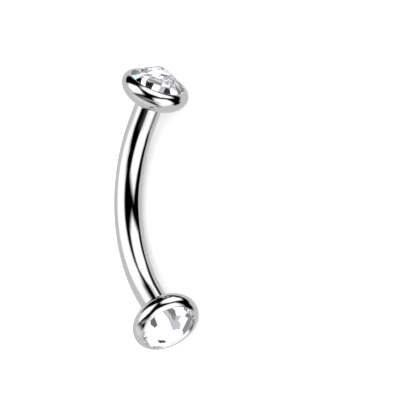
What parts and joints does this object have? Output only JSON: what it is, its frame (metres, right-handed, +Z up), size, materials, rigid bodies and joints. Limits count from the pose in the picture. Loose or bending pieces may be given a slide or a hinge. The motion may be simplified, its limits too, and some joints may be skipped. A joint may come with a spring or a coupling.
{
  "type": "curved barbell for an eyebrow piercing",
  "caption": "Curved round metal bar with a screwed-in bowl-shaped setting at each end, each holding a round clear crystal with rows of flat facets.",
  "frame": {"origin": "centre of the part's box, at the bottom, on the surface that the barbell lies on", "axes": "+X towards the upper end, along the line that joins both ends; +Y towards the outside of the bend; +Z up"},
  "size_m": [0.0124, 0.004, 0.0029],
  "materials": {
    "polished_steel": "mirror-polished surgical steel",
    "crystal": "clear cut crystal with sharp facets"
  },
  "bodies": {
    "bar": {"curved_bar": "polished_steel"},
    "upper_end": {"upper_setting": "polished_steel", "upper_crystal": "crystal"},
    "lower_end": {"lower_setting": "polished_steel", "lower_crystal": "crystal"}
  },
  "joints": [
    {"name": "upper_end_unscrews", "type": "slide", "parent": "bar", "child": "upper_end", "axis": [0.7859, -0.5744, 0.2291], "range_m": [0, 0.0016]},
    {"name": "lower_end_unscrews", "type": "slide", "parent": "bar", "child": "lower_end", "axis": [-0.7859, -0.5744, 0.2291], "range_m": [0, 0.0016]}
  ]
}
